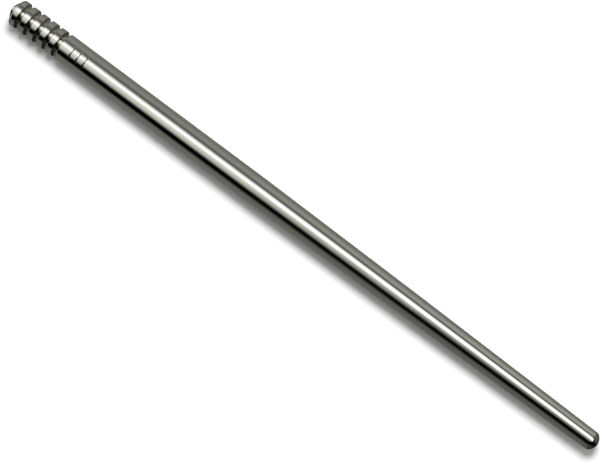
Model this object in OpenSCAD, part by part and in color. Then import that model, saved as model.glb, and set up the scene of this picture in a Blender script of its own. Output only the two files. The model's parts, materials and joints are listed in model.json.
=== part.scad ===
// Carburettor jet needle: one turned and ground bar with five clip grooves,
// a straight shank, two tapers and a domed point.
// Its axis is the X axis, with its head towards -X and its point towards +X.
// The origin is on the axis, in the middle of the middle clip groove, where the clip holds it.

/* [Needle] */
// Overall length, head end to point
needle_length = 62; // [58:0.5:70]
// Diameter of the straight shank and of the lands
shank_d = 2.515; // [2.45:0.005:2.8]

/* [Head] */
// Diameter of the small flat that the head cone ends in
head_flat_d = 0.6; // [0.3:0.05:1.2]
// Length of the head cone
head_cone_length = 0.61; // [0.4:0.01:0.9]
// Length of the first land, between the cone and the first groove
first_land = 0.55; // [0.3:0.01:0.6]
// Radius of the shoulder between the head cone and the first land
shoulder_round = 0.25; // [0.05:0.01:0.25]

/* [Clip grooves] */
// Number of clip positions
groove_count = 5; // [3:1:5]
// Spacing of the clip positions
groove_pitch = 1.03; // [0.9:0.01:1.1]
// Width of each groove
groove_width = 0.42; // [0.4:0.01:0.6]
// Diameter at the bottom of each groove
groove_root_d = 1.9; // [1.6:0.05:1.9]
// Fillet at the bottom of each groove, on the side nearer the head
head_side_fillet = 0.19; // [0.03:0.01:0.19]
// Fillet at the bottom of each groove, on the side nearer the point
point_side_fillet = 0.1; // [0.03:0.01:0.19]
// Chamfer that breaks the edges of the lands
edge_break = 0.06; // [0.01:0.01:0.07]

/* [Tapers] */
// Distance from the head end to the start of the first taper
taper_1_start = 26.6; // [22:0.1:32]
// Included angle of the first taper, in degrees
taper_1_angle = 1.15; // [0.5:0.05:1.4]
// Distance from the head end to the start of the second taper
taper_2_start = 43.4; // [38:0.1:48]
// Included angle of the second taper, in degrees
taper_2_angle = 1.7; // [1.2:0.05:1.9]

/* [Point] */
// Length of the dome that ends the needle
point_dome_length = 0.5; // [0.3:0.01:0.55]

/* [Index mark] */
// Distance from the head end to the first tick
mark_start = 6.9; // [6.6:0.1:12]
// Spacing of the ticks
mark_pitch = 0.71; // [0.5:0.01:1]
// Width of a tick
mark_width = 0.13; // [0.08:0.01:0.2]
// Depth of a tick
mark_depth = 0.05; // [0.03:0.01:0.08]
// Half the angle that a tick covers, in degrees
mark_half_angle = 32; // [20:1:45]
// Direction that the ticks face, in degrees from +Z towards -Y
mark_direction = 15; // [-90:1:90]

/* [Hidden] */
$fn = 96;

shank_r = shank_d / 2;
root_r = groove_root_d / 2;
head_flat_r = head_flat_d / 2;
first_groove = head_cone_length + first_land;
middle_groove = first_groove + floor(groove_count / 2) * groove_pitch + groove_width / 2;
dome_start = needle_length - point_dome_length;
taper_2_r = shank_r - (taper_2_start - taper_1_start) * tan(taper_1_angle / 2);
point_r = taper_2_r - (dome_start - taper_2_start) * tan(taper_2_angle / 2);
// Radius of the ball whose cap has the dome's length and the taper's end radius
dome_r = (point_r * point_r + point_dome_length * point_dome_length) / (2 * point_dome_length);

// Number of ticks in the index mark
tick_count = 3;
// How far a cutter reaches past the surface that it cuts, as a share of the cut's depth
cutter_over = 0.5;
// Angle between the head cone's surface and the axis
cone_slope = atan((shank_r - head_flat_r) / head_cone_length);
// Straight pieces in each rounded corner of the outline
round_steps = 6;

// Outline points are [radius, distance from the head end].
// The rounded shoulder where the head cone meets the first land.
function shoulder() = [
    for (i = [0 : round_steps])
        let (a = cone_slope * (1 - i / round_steps))
        [
            shank_r - shoulder_round * (1 - cos(a)),
            head_cone_length + shoulder_round * (tan(cone_slope / 2) - sin(a))
        ]
];

// The fillet, of radius r, where a groove's wall meets its bottom. side is 1 for the wall
// nearer the head and -1 for the wall nearer the point.
function fillet(wall, side, r) = [
    for (i = [0 : round_steps])
        let (a = 90 * (side > 0 ? i : round_steps - i) / round_steps)
        [root_r + r * (1 - sin(a)), wall + side * r * (1 - cos(a))]
];

// One groove, with the broken edges of the lands on both sides of it.
function groove(start) = concat(
    [[shank_r, start - edge_break], [shank_r - edge_break, start]],
    fillet(start, 1, head_side_fillet),
    fillet(start + groove_width, -1, point_side_fillet),
    [
        [shank_r - edge_break, start + groove_width],
        [shank_r, start + groove_width + edge_break]
    ]
);

// The turned outline, from the head end to the foot of the dome.
module outline() {
    grooves = [
        for (i = [0 : groove_count - 1])
            each groove(first_groove + i * groove_pitch)
    ];
    polygon(concat(
        [[0, 0], [head_flat_r, 0]],
        shoulder(),
        grooves,
        [[shank_r, taper_1_start], [taper_2_r, taper_2_start], [point_r, dome_start], [0, dome_start]]
    ));
}

module dome_outline() {
    intersection() {
        translate([0, needle_length - dome_r]) circle(r = dome_r);
        translate([0, dome_start]) square([point_r, point_dome_length]);
    }
}

// A shallow V-shaped tick that runs round the shank.
module tick(place) {
    cutter_depth = mark_depth * (1 + cutter_over);
    cutter_half_width = mark_width / 2 * (1 + cutter_over);
    translate([0, 0, place])
        rotate([0, 0, -mark_half_angle])
            rotate_extrude(angle = 2 * mark_half_angle)
                translate([shank_r - mark_depth, 0])
                    polygon([[0, 0], [cutter_depth, -cutter_half_width], [cutter_depth, cutter_half_width]]);
}

// Plain ticks on the shank, turned to face mark_direction.
module index_mark() {
    rotate([0, 0, 180 + mark_direction])
        for (i = [0 : tick_count - 1])
            tick(mark_start + i * mark_pitch);
}

module jet_needle() {
    color("silver")
        rotate([0, 90, 0])
            translate([0, 0, -middle_groove])
                difference() {
                    rotate_extrude() {
                        outline();
                        dome_outline();
                    }
                    index_mark();
                }
}

jet_needle();
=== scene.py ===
"""A carburettor jet needle lying on a pale floor, seen from above and from its pointed end."""

import json
import math

import bpy
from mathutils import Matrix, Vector


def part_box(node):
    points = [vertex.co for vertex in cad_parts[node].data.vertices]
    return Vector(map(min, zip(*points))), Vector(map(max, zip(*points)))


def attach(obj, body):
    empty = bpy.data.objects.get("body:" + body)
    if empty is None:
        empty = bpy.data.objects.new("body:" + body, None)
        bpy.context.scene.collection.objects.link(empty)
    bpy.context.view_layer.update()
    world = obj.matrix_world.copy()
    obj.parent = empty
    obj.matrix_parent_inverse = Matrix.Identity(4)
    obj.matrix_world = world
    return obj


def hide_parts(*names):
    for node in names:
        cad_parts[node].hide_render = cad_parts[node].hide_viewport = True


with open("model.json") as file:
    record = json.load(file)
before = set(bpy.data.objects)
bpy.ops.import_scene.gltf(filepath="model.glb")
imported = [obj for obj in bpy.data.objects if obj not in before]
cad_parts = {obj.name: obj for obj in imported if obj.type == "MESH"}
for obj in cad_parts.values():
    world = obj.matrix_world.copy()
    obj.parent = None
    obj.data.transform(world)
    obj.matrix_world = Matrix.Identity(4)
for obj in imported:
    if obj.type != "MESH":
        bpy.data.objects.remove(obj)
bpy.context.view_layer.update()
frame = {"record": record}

MM = 0.001

# Sizes and places that the frame holds.
MOUNTS = {mount["name"]: mount for mount in frame["record"]["mounts"]}
SHANK = MOUNTS["shank"]
GROOVES = [MOUNTS[name] for name in sorted(MOUNTS) if name.startswith("clip_groove")]
LOW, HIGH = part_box("jet_needle")
HEAD_X = LOW[0]
TIP_X = HIGH[0]
MIDDLE_X = (HEAD_X + TIP_X) / 2
FLOOR_Z = LOW[2]
SHANK_R = SHANK["dims"]["r_mm"] * MM
SHANK_END = SHANK["pos_m"][0] + SHANK["dims"]["length_mm"] / 2 * MM
GROOVE_R = GROOVES[0]["dims"]["r_mm"] * MM
GROOVE_WIDTH = GROOVES[0]["dims"]["length_mm"] * MM

# Sizes that the frame doesn't hold, as the CAD has them.
HEAD_FLAT_R = 0.30 * MM
HEAD_CONE = 0.61 * MM
SHOULDER_ROUND = 0.25 * MM
HEAD_SIDE_FILLET = 0.19 * MM
POINT_SIDE_FILLET = 0.10 * MM
TAPER_1_ANGLE = math.radians(1.15)
TAPER_2_START = HEAD_X + 43.4 * MM
TAPER_2_ANGLE = math.radians(1.70)
DOME_LENGTH = 0.50 * MM
MARK_START = HEAD_X + 6.9 * MM
MARK_PITCH = 0.71 * MM
TICKS = [MARK_START + MARK_PITCH * i for i in range(3)]
TICK_HALF_WIDTH = 0.065 * MM
TICK_DEPTH = 0.05 * MM
TICK_HALF_ANGLE = math.radians(32)
MARK_FACES = math.radians(15)

# Softer shapes than the CAD's, for the highlights.
NOSE_ROUND = 0.90 * MM
EDGE_ROUND = 0.06 * MM
FOOT_ROUND = 0.40 * MM
TICK_FADE = math.radians(14)

# Fineness of the turned mesh.
SEGMENTS = 176
CORNER_STEPS = 8
DOME_STEPS = 14
RING_GAP = 0.6 * MM
MARK_RING_GAP = 0.022 * MM
MARK_MARGIN = 4 * TICK_HALF_WIDTH
SUPPORT_GAP = 0.015 * MM
SHORT_STRETCH = 4 * SUPPORT_GAP
ON_AXIS_R = 0.1 * SUPPORT_GAP

# Where the steel is dull or dark, in mm. A pair is where a change starts and ends.
FIRST_WALL_X = (GROOVES[0]["pos_m"][0] - GROOVE_WIDTH / 2) / MM
LAST_WALL_X = (GROOVES[-1]["pos_m"][0] + GROOVE_WIDTH / 2) / MM
GROOVES_START_X = (FIRST_WALL_X - 0.2, FIRST_WALL_X - 0.1)
GROOVES_END_X = (LAST_WALL_X + 0.1, LAST_WALL_X + 0.2)
MARK_STARTS_X = (TICKS[0] / MM - 0.3, TICKS[0] / MM - 0.2)
MARK_ENDS_X = (TICKS[-1] / MM + 0.2, TICKS[-1] / MM + 0.3)
RESIDUE_R = (1.16, 1.22)
# Painted shade: across these y the groove floors turn darker towards -Y.
GROOVE_SHADE_Y = (-0.42, -0.12)
# Below this radius, within the mark, the ticks' recesses are coloured dark.
TICK_DARK_R = (1.215, 1.250)
RUST_PLACE = (2.10, 0.95, 0.66)
RUST_REACH = (0.20, 0.42)

# The grinding marks: noise cells in a mm along x, y and z, and the height that the noise stands for.
GRINDING_CELLS = (22, 1.3, 1.3)
GRINDING_HEIGHT = 0.0006 * MM

# The floor fades into the backdrop between two distances from the needle's middle.
FLOOR_HALF = 3.0
FLOOR_FADE = (0.04, 0.10)

# The softbox that lights the floor, and its place from the needle's middle at floor level.
SOFTBOX_SIZE = 0.112
SOFTBOX_WATTS = 0.35
SOFTBOX_BACK = Vector((-0.012, 0.062, 0.165))

# The camera's lens, and its place around the point that it looks at.
LENS_MM = 177.6
SENSOR_MM = 36
CAMERA_AZIMUTH = math.radians(38.14)
CAMERA_ELEVATION = math.radians(72.0)
CAMERA_DISTANCE = 250.0 * MM
CAMERA_AIM = Vector((MIDDLE_X + 0.96 * MM, -0.42 * MM, -0.11 * MM))


def grey(level):
    return (level, level, level, 1)


def olive(level):
    return (level, level * 1.005, level * 0.89, 1)


# What the steel mirrors, by the angle about the X axis: degrees from straight up towards -Y, and a
# colour. A strip softbox is overhead, and a dark gap is beside it.
HEAD_BANDS = [
    (-99, olive(0.12)), (-63, olive(0.17)), (-44, grey(0.11)), (-35, grey(0.055)), (-26, grey(0.12)),
    (-14, grey(0.55)), (-4, grey(0.82)), (5, grey(0.80)), (14, olive(0.50)), (30, olive(0.42)),
    (40, olive(0.28)), (48, olive(0.10)), (56, grey(0.0)),
]
BEFORE_HEAD = [
    (-180, grey(0.0)), (-158, grey(0.0)), (-148, olive(0.10)),
    *HEAD_BANDS,
    (180, grey(0.0)),
]
HEAD_SIDE = [
    (-180, olive(0.11)),
    *HEAD_BANDS,
    (84, grey(0.0)), (96, olive(0.08)), (113, olive(0.10)), (180, olive(0.10)),
]
POINT_SIDE = [
    (-180, olive(0.10)), (-99, olive(0.11)), (-63, olive(0.25)), (-48, olive(0.24)), (-35, grey(0.05)),
    (-26, grey(0.12)), (-18, grey(0.75)), (-9, grey(0.95)), (5, grey(0.90)), (13, olive(0.32)),
    (24, olive(0.15)), (34, olive(0.07)), (40, grey(0.0)), (68, grey(0.0)), (74, grey(0.01)),
    (88, olive(0.06)), (113, olive(0.07)), (180, olive(0.07)),
]
OVER_POINT = [
    (-180, grey(0.0)), (-170, grey(0.0)), (-160, grey(0.06)), (-100, olive(0.06)), (-75, olive(0.08)),
    (-62, grey(0.07)), (-54, grey(0.09)), (-46, grey(0.10)), (-38, grey(0.05)), (-31, grey(0.02)),
    (-22, grey(0.03)), (-16, grey(0.55)), (-9, grey(0.88)), (6, grey(0.80)), (16, olive(0.50)),
    (24, olive(0.10)), (29, grey(0.0)), (70, grey(0.0)), (90, grey(0.04)), (180, grey(0.02)),
]
PAST_POINT = [
    (-180, grey(0.0)), (-110, grey(0.05)), (-60, olive(0.07)), (-30, grey(0.0)), (180, grey(0.0)),
]

# The x of a direction at which each set of bands takes over from the one before it.
TAKES_OVER = [
    (-0.42, -0.35, HEAD_SIDE),
    (-0.28, -0.05, POINT_SIDE),
    (0.0, 0.16, OVER_POINT),
    (0.72, 0.92, PAST_POINT),
]

# The card past the head, by its directions, with soft edges. It gets lighter from near to far.
CARD_X_EDGE = (-0.69, -0.63)
CARD_BOTTOM_EDGE = (-0.70, -0.63)
CARD_TOP_EDGE = (-0.10, 0.05)
CARD_FAR_EDGE = (0.28, 0.34)
CARD_GRADE = (0.04, 0.26)
CARD_NEAR_LEVEL = 0.30
CARD_FAR_LEVEL = 0.76

# The strength of the studio's light, the grey that dull surfaces get in place of the bands, and the
# strength of the white backdrop.
STUDIO_STRENGTH = 2.0
FILL_LEVEL = 0.20
BACKDROP_STRENGTH = 1.0


# ---------------------------------------------------------------- the needle's mesh

def round_corner(before, corner, after, radius):
    """The points of an arc that rounds one corner of the outline."""
    back = (before - corner).normalized()
    on = (after - corner).normalized()
    half = back.angle(on) / 2
    reach = radius / math.tan(half)
    centre = corner + (back + on).normalized() * (radius / math.sin(half))
    first = corner + back * reach - centre
    last = corner + on * reach - centre
    steps = [first.lerp(last, i / CORNER_STEPS) for i in range(CORNER_STEPS + 1)]
    return [centre + step.normalized() * radius for step in steps]


def corners():
    """The turned outline's corners as (x, radius, rounding), from the head to the dome's foot."""
    taper_1_drop = (TAPER_2_START - SHANK_END) * math.tan(TAPER_1_ANGLE / 2)
    dome_x = TIP_X - DOME_LENGTH
    taper_2_drop = (dome_x - TAPER_2_START) * math.tan(TAPER_2_ANGLE / 2)
    made = [
        (HEAD_X, 0, 0),
        (HEAD_X, HEAD_FLAT_R, NOSE_ROUND),
        (HEAD_X + HEAD_CONE, SHANK_R, SHOULDER_ROUND),
    ]
    for groove in GROOVES:
        wall_1 = groove["pos_m"][0] - GROOVE_WIDTH / 2
        wall_2 = groove["pos_m"][0] + GROOVE_WIDTH / 2
        made += [
            (wall_1, SHANK_R, EDGE_ROUND),
            (wall_1, GROOVE_R, HEAD_SIDE_FILLET),
            (wall_2, GROOVE_R, POINT_SIDE_FILLET),
            (wall_2, SHANK_R, EDGE_ROUND),
        ]
    made.append((SHANK_END, SHANK_R, 0))
    made.append((TAPER_2_START, SHANK_R - taper_1_drop, 0))
    made.append((dome_x, SHANK_R - taper_1_drop - taper_2_drop, 0))
    return made


def outline():
    """Every point of the outline, with its corners rounded and its dome added."""
    sharp = [(Vector((x, r)), rounding) for x, r, rounding in corners()]
    points = [sharp[0][0]]
    for i in range(1, len(sharp) - 1):
        corner, rounding = sharp[i]
        if rounding:
            points += round_corner(sharp[i - 1][0], corner, sharp[i + 1][0], rounding)
        else:
            points.append(corner)
    foot = sharp[-1][0]
    ball_r = (foot.y ** 2 + DOME_LENGTH ** 2) / (2 * DOME_LENGTH)
    foot_angle = math.asin(foot.y / ball_r)
    along_dome = Vector((math.sin(foot_angle), -math.cos(foot_angle)))
    points += round_corner(sharp[-2][0], foot, foot + along_dome, FOOT_ROUND)
    first_angle = math.asin(points[-1].y / ball_r)
    for i in range(1, DOME_STEPS + 1):
        a = first_angle * (1 - i / DOME_STEPS)
        points.append(Vector((TIP_X - ball_r * (1 - math.cos(a)), ball_r * math.sin(a))))
    return points


def spaced(low, high, gap):
    """Evenly spaced places above low, the last of them at high, no more than gap apart."""
    count = max(1, math.ceil((high - low) / gap))
    return [low + (high - low) * (i + 1) / count for i in range(count)]


def with_rings_between(points):
    """The outline again, with rings added along its long straight stretches."""
    made = [points[0]]
    for start, end in zip(points, points[1:]):
        length = (end - start).length
        on_mark = start.x < TICKS[-1] < end.x
        if on_mark:
            mark_low = TICKS[0] - MARK_MARGIN - start.x
            mark_high = TICKS[-1] + MARK_MARGIN - start.x
            places = [SUPPORT_GAP, mark_low, *spaced(mark_low, mark_high, MARK_RING_GAP)]
            places += spaced(mark_high, length, RING_GAP)[:-1]
        elif length > SHORT_STRETCH:
            places = [SUPPORT_GAP, *spaced(SUPPORT_GAP, length - SUPPORT_GAP, RING_GAP)]
        else:
            places = []
        made += [start.lerp(end, place / length) for place in places]
        made.append(end)
    return made


def smooth_step(low, high, value):
    part = min(1, max(0, (value - low) / (high - low)))
    return part * part * (3 - 2 * part)


def tick_depth(x, angle):
    """How deep the index mark's ticks cut at one place on the shank. Angle is from +Z towards -Y."""
    away = min(abs(x - tick) for tick in TICKS)
    if away > TICK_HALF_WIDTH:
        return 0
    turned = abs((angle - MARK_FACES + math.pi) % (2 * math.pi) - math.pi)
    ends = 1 - smooth_step(TICK_HALF_ANGLE - TICK_FADE, TICK_HALF_ANGLE, turned)
    return TICK_DEPTH * (1 - away / TICK_HALF_WIDTH) * ends


def turned_mesh(name):
    """The needle as one closed mesh: the outline turned about the X axis."""
    rings = [point for point in with_rings_between(outline()) if point.y > ON_AXIS_R]
    points = [(HEAD_X, 0, 0), (TIP_X, 0, 0)]
    for ring in rings:
        for j in range(SEGMENTS):
            angle = 2 * math.pi * j / SEGMENTS
            radius = ring.y - tick_depth(ring.x, angle)
            points.append((ring.x, -radius * math.sin(angle), radius * math.cos(angle)))

    def at(i, j):
        return 2 + i * SEGMENTS + j % SEGMENTS

    last = len(rings) - 1
    faces = []
    for j in range(SEGMENTS):
        faces.append((0, at(0, j + 1), at(0, j)))
        faces.append((1, at(last, j), at(last, j + 1)))
        for i in range(last):
            faces.append((at(i, j), at(i, j + 1), at(i + 1, j + 1), at(i + 1, j)))
    mesh = bpy.data.meshes.new(name)
    mesh.from_pydata(points, [], faces)
    mesh.polygons.foreach_set("use_smooth", [True] * len(mesh.polygons))
    mesh.validate()
    return mesh


# ---------------------------------------------------------------- materials

class Nodes:
    """Makes shader nodes and links them, one call a node."""

    def __init__(self, tree):
        self.tree = tree
        tree.nodes.clear()

    def add(self, kind, inputs=None, **settings):
        made = self.tree.nodes.new(kind)
        for name, value in settings.items():
            setattr(made, name, value)
        for key, value in (inputs or {}).items():
            if isinstance(value, bpy.types.NodeSocket):
                self.tree.links.new(value, made.inputs[key])
            else:
                made.inputs[key].default_value = value
        return made

    def math(self, operation, first, second=0.0):
        return self.add("ShaderNodeMath", {0: first, 1: second}, operation=operation).outputs[0]

    def vector(self, operation, first, second):
        made = self.add("ShaderNodeVectorMath", {0: first, 1: second}, operation=operation)
        return made.outputs["Value" if operation == "DISTANCE" else "Vector"]

    def remap(self, value, low, high, to_low=0.0, to_high=1.0, smooth=True):
        made = self.add(
            "ShaderNodeMapRange",
            {0: value, 1: low, 2: high, 3: to_low, 4: to_high},
            interpolation_type="SMOOTHSTEP" if smooth else "LINEAR",
        )
        return made.outputs[0]

    def rises(self, value, low, high):
        """A mask that is 0 below low and 1 above high."""
        return self.remap(value, low, high)

    def falls(self, value, low, high):
        """A mask that is 1 below low and 0 above high."""
        return self.remap(value, low, high, 1.0, 0.0)

    def mix(self, factor, first, second):
        made = self.add("ShaderNodeMix", {0: factor, 6: first, 7: second}, data_type="RGBA")
        return made.outputs[2]

    def noise(self, vector, scale, detail=2.0):
        made = self.add("ShaderNodeTexNoise", {"Vector": vector, "Scale": scale, "Detail": detail})
        return made.outputs[0]

    def ramp(self, factor, stops):
        """Colours by an angle. factor is 0 at -180 degrees and 1 at 180, and a stop is (degrees, colour)."""
        made = self.add("ShaderNodeValToRGB", {0: factor})
        elements = made.color_ramp.elements
        while len(elements) < len(stops):
            elements.new(0.5)
        for element, (degrees, colour) in zip(elements, stops):
            element.position = 0.5 + degrees / 360
            element.color = colour
        return made.outputs[0]


def steel():
    """Bright ground steel with fine marks round it. The clip grooves have a dull deposit and a spot of
    rust, and painted shade darkens their -Y side. The index mark's ticks are coloured dark."""
    material = bpy.data.materials.new("steel")
    material.use_nodes = True
    n = Nodes(material.node_tree)
    place = n.add("ShaderNodeTexCoord").outputs["Object"]
    in_mm = n.vector("MULTIPLY", place, (1 / MM, 1 / MM, 1 / MM))
    x, y, z = n.add("ShaderNodeSeparateXYZ", {0: in_mm}).outputs
    radius = n.math("SQRT", n.math("ADD", n.math("MULTIPLY", y, y), n.math("MULTIPLY", z, z)))

    grinding = n.noise(n.vector("MULTIPLY", in_mm, GRINDING_CELLS), 1.0, 4.0)
    patches = n.noise(in_mm, 0.8, 3.0)

    below_lands = n.falls(radius, *RESIDUE_R)
    among_grooves = n.math("MULTIPLY", n.rises(x, *GROOVES_START_X), n.falls(x, *GROOVES_END_X))
    in_groove = n.math("MULTIPLY", below_lands, among_grooves)

    on_mark = n.math("MULTIPLY", n.rises(x, *MARK_STARTS_X), n.falls(x, *MARK_ENDS_X))
    in_tick = n.math("MULTIPLY", on_mark, n.falls(radius, *TICK_DARK_R))

    near_spot = n.falls(n.vector("DISTANCE", in_mm, RUST_PLACE), *RUST_REACH)
    rusty = n.math("MULTIPLY", near_spot, below_lands)

    bare = n.mix(patches, (0.62, 0.62, 0.59, 1), (0.67, 0.67, 0.65, 1))
    residue_and_shade = n.mix(patches, (0.52, 0.51, 0.45, 1), (0.60, 0.59, 0.54, 1))
    # Painted shade: the groove colour turns much darker on the -Y side.
    residue_and_shade = n.mix(n.falls(y, *GROOVE_SHADE_Y), residue_and_shade, (0.22, 0.21, 0.18, 1))
    # The ticks' recesses are coloured dark.
    tick_dark = (0.12, 0.12, 0.11, 1)
    rust = (0.26, 0.11, 0.08, 1)
    colour = n.mix(in_groove, bare, residue_and_shade)
    colour = n.mix(in_tick, colour, tick_dark)
    colour = n.mix(rusty, colour, rust)

    rough = n.remap(grinding, 0.3, 0.7, 0.06, 0.11)
    rough = n.math("ADD", rough, n.math("MULTIPLY", in_groove, 0.06))
    rough = n.math("ADD", rough, n.math("MULTIPLY", rusty, 0.20))
    bump = n.add("ShaderNodeBump", {"Strength": 1.0, "Distance": GRINDING_HEIGHT, "Height": grinding})
    shader = n.add(
        "ShaderNodeBsdfPrincipled",
        {"Base Color": colour, "Metallic": 1.0, "Roughness": rough, "Normal": bump.outputs[0]},
    )
    n.add("ShaderNodeOutputMaterial", {0: shader.outputs[0]})
    return material


def floor_material():
    """A pale floor that fades into the white backdrop away from the needle."""
    material = bpy.data.materials.new("pale_floor")
    material.use_nodes = True
    n = Nodes(material.node_tree)
    place = n.add("ShaderNodeTexCoord").outputs["Object"]
    tone = n.mix(n.noise(place, 30.0), grey(0.88), grey(0.90))
    near = n.add("ShaderNodeBsdfDiffuse", {"Color": tone}).outputs[0]
    far = n.add("ShaderNodeEmission", {"Color": grey(1.0), "Strength": BACKDROP_STRENGTH}).outputs[0]
    fade = n.rises(n.vector("DISTANCE", place, (MIDDLE_X, 0, 0)), *FLOOR_FADE)
    both = n.add("ShaderNodeMixShader", {0: fade, 1: near, 2: far})
    n.add("ShaderNodeOutputMaterial", {0: both.outputs[0]})
    return material


# ---------------------------------------------------------------- object

def needle():
    piece = bpy.data.objects.new("turned_needle", turned_mesh("turned_needle"))
    bpy.context.collection.objects.link(piece)
    piece.data.materials.append(steel())
    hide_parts("jet_needle")
    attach(piece, "root")


# ---------------------------------------------------------------- studio

def floor():
    mesh = bpy.data.meshes.new("floor")
    corners_xy = [
        (-FLOOR_HALF, -FLOOR_HALF),
        (FLOOR_HALF, -FLOOR_HALF),
        (FLOOR_HALF, FLOOR_HALF),
        (-FLOOR_HALF, FLOOR_HALF),
    ]
    mesh.from_pydata([(x, y, FLOOR_Z) for x, y in corners_xy], [], [(0, 1, 2, 3)])
    mesh.materials.append(floor_material())
    piece = bpy.data.objects.new("floor", mesh)
    bpy.context.collection.objects.link(piece)
    piece.visible_glossy = False


def studio_world():
    """What the steel mirrors, a plain fill for dull surfaces, and a white backdrop for the camera."""
    world = bpy.data.worlds.new("studio")
    bpy.context.scene.world = world
    world.use_nodes = True
    n = Nodes(world.node_tree)
    direction = n.add("ShaderNodeTexCoord").outputs["Generated"]
    x, y, z = n.add("ShaderNodeSeparateXYZ", {0: direction}).outputs
    turn = n.math("ARCTAN2", n.math("MULTIPLY", y, -1.0), z)
    factor = n.math("ADD", n.math("DIVIDE", turn, 2 * math.pi), 0.5)

    mirrored = n.ramp(factor, BEFORE_HEAD)
    for start, end, stops in TAKES_OVER:
        mirrored = n.mix(n.rises(x, start, end), mirrored, n.ramp(factor, stops))

    on_card = n.math("MULTIPLY", n.falls(x, *CARD_X_EDGE), n.rises(z, *CARD_BOTTOM_EDGE))
    on_card = n.math("MULTIPLY", on_card, n.falls(z, *CARD_TOP_EDGE))
    on_card = n.math("MULTIPLY", on_card, n.falls(y, *CARD_FAR_EDGE))
    grade = n.remap(y, *CARD_GRADE, smooth=False)
    mirrored = n.mix(on_card, mirrored, n.mix(grade, grey(CARD_NEAR_LEVEL), grey(CARD_FAR_LEVEL)))

    rays = n.add("ShaderNodeLightPath").outputs
    around = n.mix(rays["Is Diffuse Ray"], mirrored, grey(FILL_LEVEL))
    around = n.add("ShaderNodeBackground", {"Color": around, "Strength": STUDIO_STRENGTH}).outputs[0]
    backdrop = n.add("ShaderNodeBackground", {"Color": grey(1.0), "Strength": BACKDROP_STRENGTH}).outputs[0]
    both = n.add("ShaderNodeMixShader", {0: rays["Is Camera Ray"], 1: around, 2: backdrop})
    n.add("ShaderNodeOutputWorld", {0: both.outputs[0]})


def softbox():
    """A round softbox above the needle, a little behind it, for the floor and the shadow on it."""
    data = bpy.data.lights.new("softbox", "AREA")
    data.shape = "DISK"
    data.size = SOFTBOX_SIZE
    data.energy = SOFTBOX_WATTS
    lamp = bpy.data.objects.new("softbox", data)
    bpy.context.collection.objects.link(lamp)
    lamp.location = Vector((MIDDLE_X, 0, FLOOR_Z)) + SOFTBOX_BACK
    lamp.rotation_euler = SOFTBOX_BACK.to_track_quat("Z", "Y").to_euler()
    lamp.visible_glossy = False


def camera():
    data = bpy.data.cameras.new("camera")
    data.lens = LENS_MM
    data.sensor_width = SENSOR_MM
    data.clip_start = 0.01
    data.clip_end = 10
    cam = bpy.data.objects.new("camera", data)
    bpy.context.collection.objects.link(cam)
    back = Vector((
        math.sin(CAMERA_AZIMUTH) * math.cos(CAMERA_ELEVATION),
        -math.cos(CAMERA_AZIMUTH) * math.cos(CAMERA_ELEVATION),
        math.sin(CAMERA_ELEVATION),
    ))
    cam.location = CAMERA_AIM + back * CAMERA_DISTANCE
    cam.rotation_euler = back.to_track_quat("Z", "Y").to_euler()
    bpy.context.scene.camera = cam


needle()
floor()
studio_world()
softbox()
camera()
bpy.context.scene.view_settings.view_transform = "Standard"
